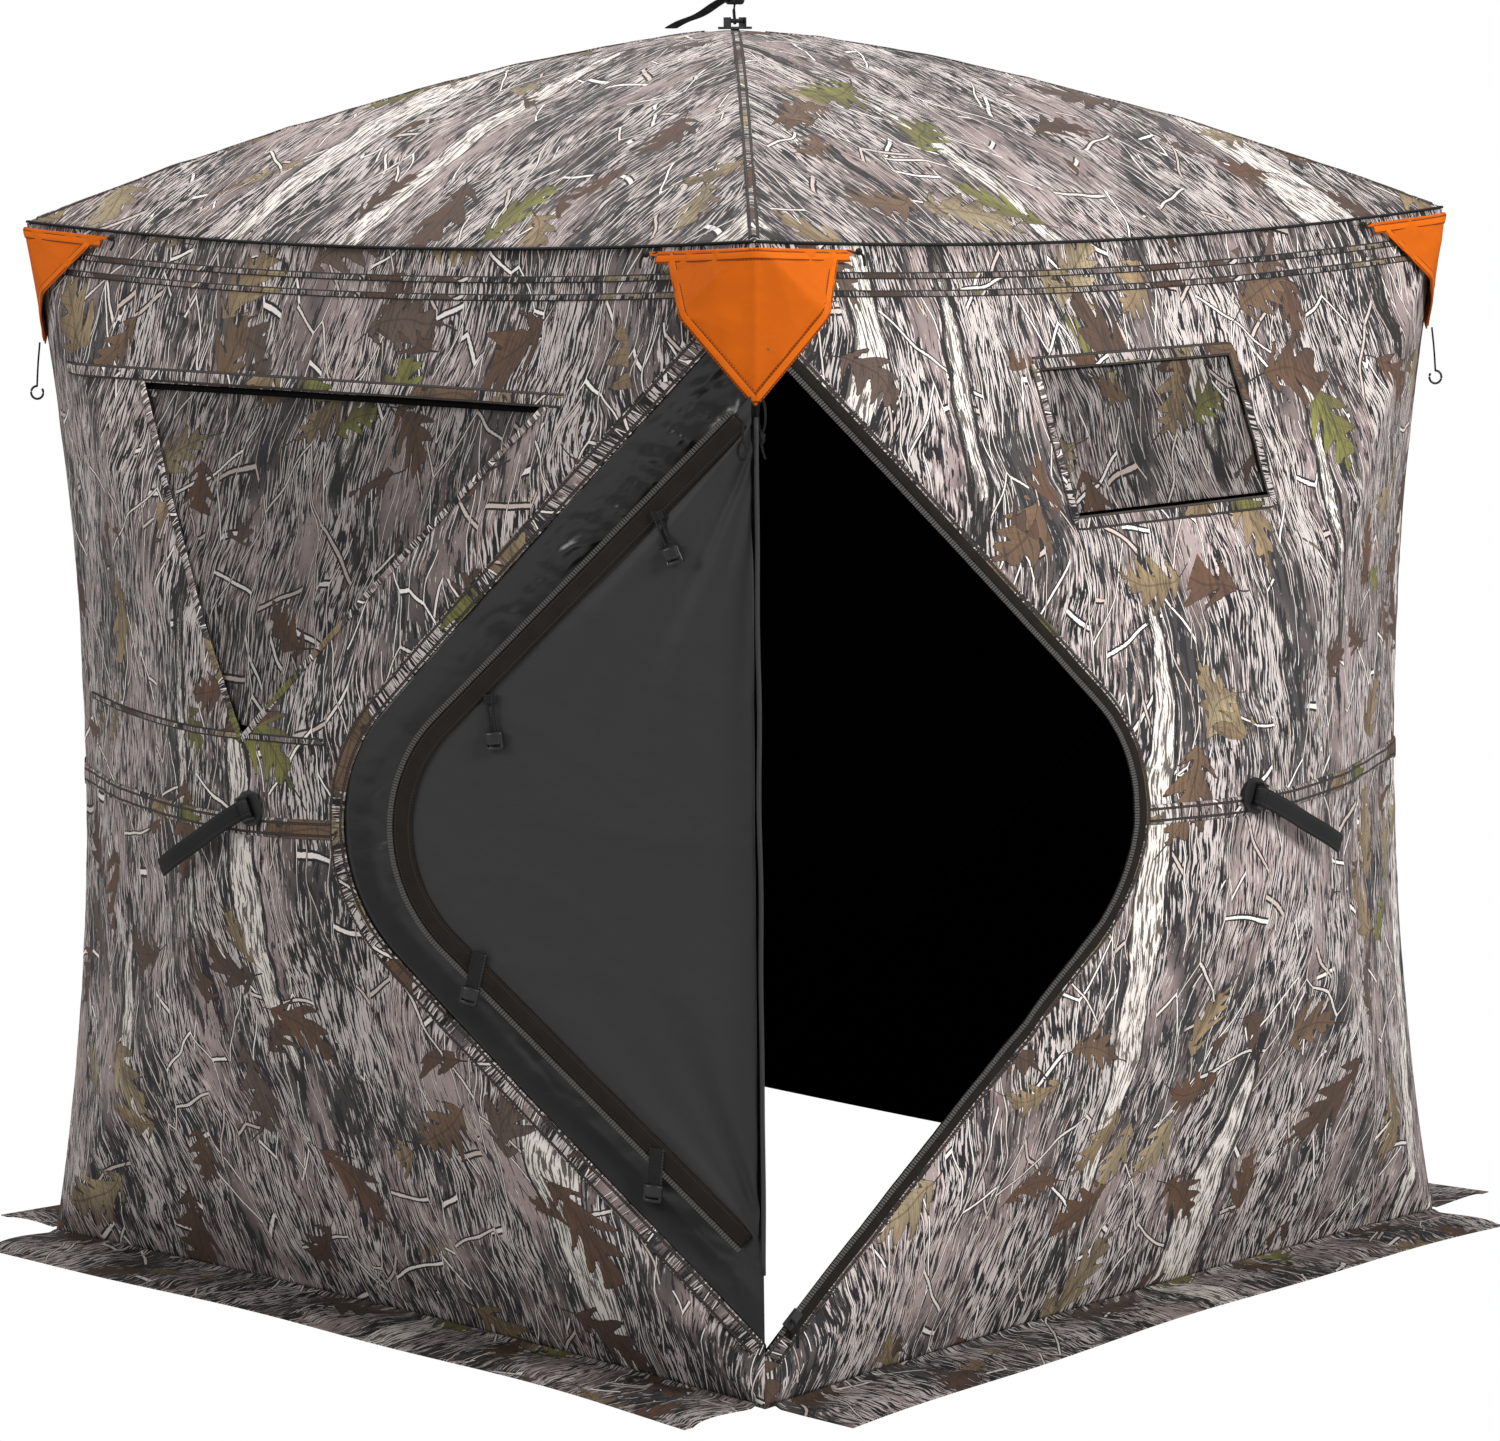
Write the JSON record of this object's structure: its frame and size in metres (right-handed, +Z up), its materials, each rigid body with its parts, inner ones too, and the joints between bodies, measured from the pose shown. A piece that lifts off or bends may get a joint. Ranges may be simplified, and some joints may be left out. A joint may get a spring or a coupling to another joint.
{
  "type": "pop up ground blind",
  "caption": "Square hunting hide with bulging camouflage fabric walls and roof, each pushed out by a hub and rods, with a folded-back corner door.",
  "frame": {"origin": "middle of the square that the blind stands on, at ground level", "axes": "+Z up; the front wall faces -Y and the right wall +X, with the open door at the corner between them"},
  "size_m": [1.8642, 1.8642, 1.7155],
  "materials": {
    "camo_fabric": "woven polyester with a printed woodland pattern, black coated inside",
    "dark_fabric": "black coated polyester, matte with creases",
    "orange_fabric": "plain woven blaze orange polyester",
    "window_net": "fine black net",
    "webbing": "black woven webbing",
    "hub_plastic": "moulded black nylon",
    "rod_glassfibre": "pultruded glass fibre rod with a dull sheen",
    "zip_tape": "brown woven zip tape with a black coil",
    "zip_metal": "black lacquered metal"
  },
  "bodies": {
    "root": {"front_wall": "camo_fabric", "right_wall": "camo_fabric", "back_wall": "camo_fabric", "left_wall": "camo_fabric", "roof_panel": "camo_fabric", "door_fixed_panel": "dark_fabric", "zipper_track": "zip_tape", "ground_skirt": "camo_fabric", "corner_cap_front_right": "orange_fabric", "corner_socket_front_right": "hub_plastic", "corner_foot_front_right": "hub_plastic", "corner_cap_back_right": "orange_fabric", "corner_socket_back_right": "hub_plastic", "corner_foot_back_right": "hub_plastic", "corner_cap_back_left": "orange_fabric", "corner_socket_back_left": "hub_plastic", "corner_foot_back_left": "hub_plastic", "corner_cap_front_left": "orange_fabric", "corner_socket_front_left": "hub_plastic", "corner_foot_front_left": "hub_plastic"},
    "front_hub": {"front_hub": "hub_plastic"},
    "front_rod_top_right": {"front_rod_top_right": "rod_glassfibre"},
    "front_rod_top_left": {"front_rod_top_left": "rod_glassfibre"},
    "front_rod_bottom_left": {"front_rod_bottom_left": "rod_glassfibre"},
    "front_rod_bottom_right": {"front_rod_bottom_right": "rod_glassfibre"},
    "front_pull_strap": {"front_pull_strap": "webbing"},
    "front_window_net": {"front_window_net": "window_net"},
    "front_window_flap": {"front_window_flap": "camo_fabric"},
    "right_hub": {"right_hub": "hub_plastic"},
    "right_rod_top_right": {"right_rod_top_right": "rod_glassfibre"},
    "right_rod_top_left": {"right_rod_top_left": "rod_glassfibre"},
    "right_rod_bottom_left": {"right_rod_bottom_left": "rod_glassfibre"},
    "right_rod_bottom_right": {"right_rod_bottom_right": "rod_glassfibre"},
    "right_pull_strap": {"right_pull_strap": "webbing"},
    "right_window_net": {"right_window_net": "window_net"},
    "right_window_flap": {"right_window_flap": "camo_fabric"},
    "back_hub": {"back_hub": "hub_plastic"},
    "back_rod_top_right": {"back_rod_top_right": "rod_glassfibre"},
    "back_rod_top_left": {"back_rod_top_left": "rod_glassfibre"},
    "back_rod_bottom_left": {"back_rod_bottom_left": "rod_glassfibre"},
    "back_rod_bottom_right": {"back_rod_bottom_right": "rod_glassfibre"},
    "back_pull_strap": {"back_pull_strap": "webbing"},
    "back_window_net": {"back_window_net": "window_net"},
    "back_window_flap": {"back_window_flap": "camo_fabric"},
    "left_hub": {"left_hub": "hub_plastic"},
    "left_rod_top_right": {"left_rod_top_right": "rod_glassfibre"},
    "left_rod_top_left": {"left_rod_top_left": "rod_glassfibre"},
    "left_rod_bottom_left": {"left_rod_bottom_left": "rod_glassfibre"},
    "left_rod_bottom_right": {"left_rod_bottom_right": "rod_glassfibre"},
    "left_pull_strap": {"left_pull_strap": "webbing"},
    "left_window_net": {"left_window_net": "window_net"},
    "left_window_flap": {"left_window_flap": "camo_fabric"},
    "roof_hub": {"roof_hub": "hub_plastic"},
    "roof_rod_top_right": {"roof_rod_top_right": "rod_glassfibre"},
    "roof_rod_top_left": {"roof_rod_top_left": "rod_glassfibre"},
    "roof_rod_bottom_left": {"roof_rod_bottom_left": "rod_glassfibre"},
    "roof_rod_bottom_right": {"roof_rod_bottom_right": "rod_glassfibre"},
    "roof_pull_strap": {"roof_pull_strap": "webbing"},
    "door_leaf": {"door_leaf": "dark_fabric"},
    "zipper_slider": {"zipper_slider": "zip_metal"}
  },
  "joints": [
    {"name": "front_hub_push", "type": "slide", "parent": "root", "child": "front_hub", "axis": [0, 1, 0], "range_m": [0, 0.42], "deforming": ["front_wall"]},
    {"name": "front_rod_top_right_pivot", "type": "hinge", "parent": "front_hub", "child": "front_rod_top_right", "pos_m": [0.02894, -0.89848, 0.74093], "axis": [0.7411, 0, -0.6714], "range_deg": [0, 26.83]},
    {"name": "front_rod_top_left_pivot", "type": "hinge", "parent": "front_hub", "child": "front_rod_top_left", "pos_m": [-0.02894, -0.89848, 0.74093], "axis": [0.7411, 0, 0.6714], "range_deg": [0, 26.83]},
    {"name": "front_rod_bottom_left_pivot", "type": "hinge", "parent": "front_hub", "child": "front_rod_bottom_left", "pos_m": [-0.02894, -0.89798, 0.67712], "axis": [-0.739, 0, 0.6738], "range_deg": [0, 27.21]},
    {"name": "front_rod_bottom_right_pivot", "type": "hinge", "parent": "front_hub", "child": "front_rod_bottom_right", "pos_m": [0.02894, -0.89798, 0.67712], "axis": [-0.739, 0, -0.6738], "range_deg": [0, 27.21]},
    {"name": "front_pull_strap_swing", "type": "hinge", "parent": "front_hub", "child": "front_pull_strap", "pos_m": [0, -0.92563, 0.709], "axis": [-0.454, 0, 0.891], "range_deg": [0, 110]},
    {"name": "front_window_net_swing", "type": "hinge", "parent": "root", "child": "front_window_net", "pos_m": [0, -0.7, 1.436], "axis": [1, 0, 0], "range_deg": [0, 32.52]},
    {"name": "front_window_flap_drop", "type": "slide", "parent": "front_window_net", "child": "front_window_flap", "axis": [0, -0.2819, -0.9594], "range_m": [0, 0.33], "deforming": ["front_window_flap"]},
    {"name": "right_hub_push", "type": "slide", "parent": "root", "child": "right_hub", "axis": [-1, 0, 0], "range_m": [0, 0.42], "deforming": ["right_wall"]},
    {"name": "right_rod_top_right_pivot", "type": "hinge", "parent": "right_hub", "child": "right_rod_top_right", "pos_m": [0.89848, 0.02894, 0.74093], "axis": [0, 0.7411, -0.6714], "range_deg": [0, 26.83]},
    {"name": "right_rod_top_left_pivot", "type": "hinge", "parent": "right_hub", "child": "right_rod_top_left", "pos_m": [0.89848, -0.02894, 0.74093], "axis": [0, 0.7411, 0.6714], "range_deg": [0, 26.83]},
    {"name": "right_rod_bottom_left_pivot", "type": "hinge", "parent": "right_hub", "child": "right_rod_bottom_left", "pos_m": [0.89798, -0.02894, 0.67712], "axis": [0, -0.739, 0.6738], "range_deg": [0, 27.21]},
    {"name": "right_rod_bottom_right_pivot", "type": "hinge", "parent": "right_hub", "child": "right_rod_bottom_right", "pos_m": [0.89798, 0.02894, 0.67712], "axis": [0, -0.739, -0.6738], "range_deg": [0, 27.21]},
    {"name": "right_pull_strap_swing", "type": "hinge", "parent": "right_hub", "child": "right_pull_strap", "pos_m": [0.92563, 0, 0.709], "axis": [0, -0.4067, -0.9135], "range_deg": [0, 110]},
    {"name": "right_window_net_swing", "type": "hinge", "parent": "root", "child": "right_window_net", "pos_m": [0.7, 0, 1.436], "axis": [0, 1, 0], "range_deg": [0, 32.52]},
    {"name": "right_window_flap_drop", "type": "slide", "parent": "right_window_net", "child": "right_window_flap", "axis": [0.2819, 0, -0.9594], "range_m": [0, 0.17], "deforming": ["right_window_flap"]},
    {"name": "back_hub_push", "type": "slide", "parent": "root", "child": "back_hub", "axis": [0, -1, 0], "range_m": [0, 0.42], "deforming": ["back_wall"]},
    {"name": "back_rod_top_right_pivot", "type": "hinge", "parent": "back_hub", "child": "back_rod_top_right", "pos_m": [-0.02894, 0.89848, 0.74093], "axis": [-0.7411, 0, -0.6714], "range_deg": [0, 26.83]},
    {"name": "back_rod_top_left_pivot", "type": "hinge", "parent": "back_hub", "child": "back_rod_top_left", "pos_m": [0.02894, 0.89848, 0.74093], "axis": [-0.7411, 0, 0.6714], "range_deg": [0, 26.83]},
    {"name": "back_rod_bottom_left_pivot", "type": "hinge", "parent": "back_hub", "child": "back_rod_bottom_left", "pos_m": [0.02894, 0.89798, 0.67712], "axis": [0.739, 0, 0.6738], "range_deg": [0, 27.21]},
    {"name": "back_rod_bottom_right_pivot", "type": "hinge", "parent": "back_hub", "child": "back_rod_bottom_right", "pos_m": [-0.02894, 0.89798, 0.67712], "axis": [0.739, 0, -0.6738], "range_deg": [0, 27.21]},
    {"name": "back_pull_strap_swing", "type": "hinge", "parent": "back_hub", "child": "back_pull_strap", "pos_m": [0, 0.92563, 0.709], "axis": [0.454, 0, 0.891], "range_deg": [0, 110]},
    {"name": "back_window_net_swing", "type": "hinge", "parent": "root", "child": "back_window_net", "pos_m": [0, 0.7, 1.436], "axis": [-1, 0, 0], "range_deg": [0, 32.52]},
    {"name": "back_window_flap_drop", "type": "slide", "parent": "back_window_net", "child": "back_window_flap", "axis": [0, 0.2819, -0.9594], "range_m": [0, 0.33], "deforming": ["back_window_flap"]},
    {"name": "left_hub_push", "type": "slide", "parent": "root", "child": "left_hub", "axis": [1, 0, 0], "range_m": [0, 0.42], "deforming": ["left_wall"]},
    {"name": "left_rod_top_right_pivot", "type": "hinge", "parent": "left_hub", "child": "left_rod_top_right", "pos_m": [-0.89848, -0.02894, 0.74093], "axis": [0, -0.7411, -0.6714], "range_deg": [0, 26.83]},
    {"name": "left_rod_top_left_pivot", "type": "hinge", "parent": "left_hub", "child": "left_rod_top_left", "pos_m": [-0.89848, 0.02894, 0.74093], "axis": [0, -0.7411, 0.6714], "range_deg": [0, 26.83]},
    {"name": "left_rod_bottom_left_pivot", "type": "hinge", "parent": "left_hub", "child": "left_rod_bottom_left", "pos_m": [-0.89798, 0.02894, 0.67712], "axis": [0, 0.739, 0.6738], "range_deg": [0, 27.21]},
    {"name": "left_rod_bottom_right_pivot", "type": "hinge", "parent": "left_hub", "child": "left_rod_bottom_right", "pos_m": [-0.89798, -0.02894, 0.67712], "axis": [0, 0.739, -0.6738], "range_deg": [0, 27.21]},
    {"name": "left_pull_strap_swing", "type": "hinge", "parent": "left_hub", "child": "left_pull_strap", "pos_m": [-0.92563, 0, 0.709], "axis": [0, 0.4067, -0.9135], "range_deg": [0, 110]},
    {"name": "left_window_net_swing", "type": "hinge", "parent": "root", "child": "left_window_net", "pos_m": [-0.7, 0, 1.436], "axis": [0, -1, 0], "range_deg": [0, 32.52]},
    {"name": "left_window_flap_drop", "type": "slide", "parent": "left_window_net", "child": "left_window_flap", "axis": [-0.2819, 0, -0.9594], "range_m": [0, 0.33], "deforming": ["left_window_flap"]},
    {"name": "roof_hub_push", "type": "slide", "parent": "root", "child": "roof_hub", "axis": [0, 0, -1], "range_m": [0, 0.5], "deforming": ["roof_panel"]},
    {"name": "roof_rod_top_right_pivot", "type": "hinge", "parent": "roof_hub", "child": "roof_rod_top_right", "pos_m": [0.0315, 0.0315, 1.68156], "axis": [0.7071, -0.7071, 0], "range_deg": [0, 32]},
    {"name": "roof_rod_top_left_pivot", "type": "hinge", "parent": "roof_hub", "child": "roof_rod_top_left", "pos_m": [-0.0315, 0.0315, 1.68156], "axis": [0.7071, 0.7071, 0], "range_deg": [0, 32]},
    {"name": "roof_rod_bottom_left_pivot", "type": "hinge", "parent": "roof_hub", "child": "roof_rod_bottom_left", "pos_m": [-0.0315, -0.0315, 1.68156], "axis": [-0.7071, 0.7071, 0], "range_deg": [0, 32]},
    {"name": "roof_rod_bottom_right_pivot", "type": "hinge", "parent": "roof_hub", "child": "roof_rod_bottom_right", "pos_m": [0.0315, -0.0315, 1.68156], "axis": [-0.7071, -0.7071, 0], "range_deg": [0, 32]},
    {"name": "roof_pull_strap_swing", "type": "hinge", "parent": "roof_hub", "child": "roof_pull_strap", "pos_m": [0, 0, 1.709], "axis": [0, 1, 0], "range_deg": [0, 110]},
    {"name": "door_leaf_fold", "type": "hinge", "parent": "root", "child": "door_leaf", "pos_m": [0.69143, -0.69143, 0.7], "axis": [0, 0, 1], "range_deg": [0, 226.4]},
    {"name": "zipper_slider_run", "type": "slide", "parent": "root", "child": "zipper_slider", "axis": [0.238, 0.6535, 0.7185], "range_m": [0, 0.294]}
  ],
  "couplings": [
    {"joint": "front_rod_top_right_pivot", "follows": "front_hub_push", "rad_per_m": 1.1025},
    {"joint": "front_rod_top_left_pivot", "follows": "front_hub_push", "rad_per_m": 1.1025},
    {"joint": "front_rod_bottom_left_pivot", "follows": "front_hub_push", "rad_per_m": 1.1183},
    {"joint": "front_rod_bottom_right_pivot", "follows": "front_hub_push", "rad_per_m": 1.1183},
    {"joint": "front_window_net_swing", "follows": "front_hub_push", "rad_per_m": 1.339},
    {"joint": "right_rod_top_right_pivot", "follows": "right_hub_push", "rad_per_m": 1.1025},
    {"joint": "right_rod_top_left_pivot", "follows": "right_hub_push", "rad_per_m": 1.1025},
    {"joint": "right_rod_bottom_left_pivot", "follows": "right_hub_push", "rad_per_m": 1.1183},
    {"joint": "right_rod_bottom_right_pivot", "follows": "right_hub_push", "rad_per_m": 1.1183},
    {"joint": "right_window_net_swing", "follows": "right_hub_push", "rad_per_m": 1.339},
    {"joint": "back_rod_top_right_pivot", "follows": "back_hub_push", "rad_per_m": 1.1025},
    {"joint": "back_rod_top_left_pivot", "follows": "back_hub_push", "rad_per_m": 1.1025},
    {"joint": "back_rod_bottom_left_pivot", "follows": "back_hub_push", "rad_per_m": 1.1183},
    {"joint": "back_rod_bottom_right_pivot", "follows": "back_hub_push", "rad_per_m": 1.1183},
    {"joint": "back_window_net_swing", "follows": "back_hub_push", "rad_per_m": 1.339},
    {"joint": "left_rod_top_right_pivot", "follows": "left_hub_push", "rad_per_m": 1.1025},
    {"joint": "left_rod_top_left_pivot", "follows": "left_hub_push", "rad_per_m": 1.1025},
    {"joint": "left_rod_bottom_left_pivot", "follows": "left_hub_push", "rad_per_m": 1.1183},
    {"joint": "left_rod_bottom_right_pivot", "follows": "left_hub_push", "rad_per_m": 1.1183},
    {"joint": "left_window_net_swing", "follows": "left_hub_push", "rad_per_m": 1.339},
    {"joint": "roof_rod_top_right_pivot", "follows": "roof_hub_push", "rad_per_m": 1.1065},
    {"joint": "roof_rod_top_left_pivot", "follows": "roof_hub_push", "rad_per_m": 1.1065},
    {"joint": "roof_rod_bottom_left_pivot", "follows": "roof_hub_push", "rad_per_m": 1.1065},
    {"joint": "roof_rod_bottom_right_pivot", "follows": "roof_hub_push", "rad_per_m": 1.1065}
  ]
}
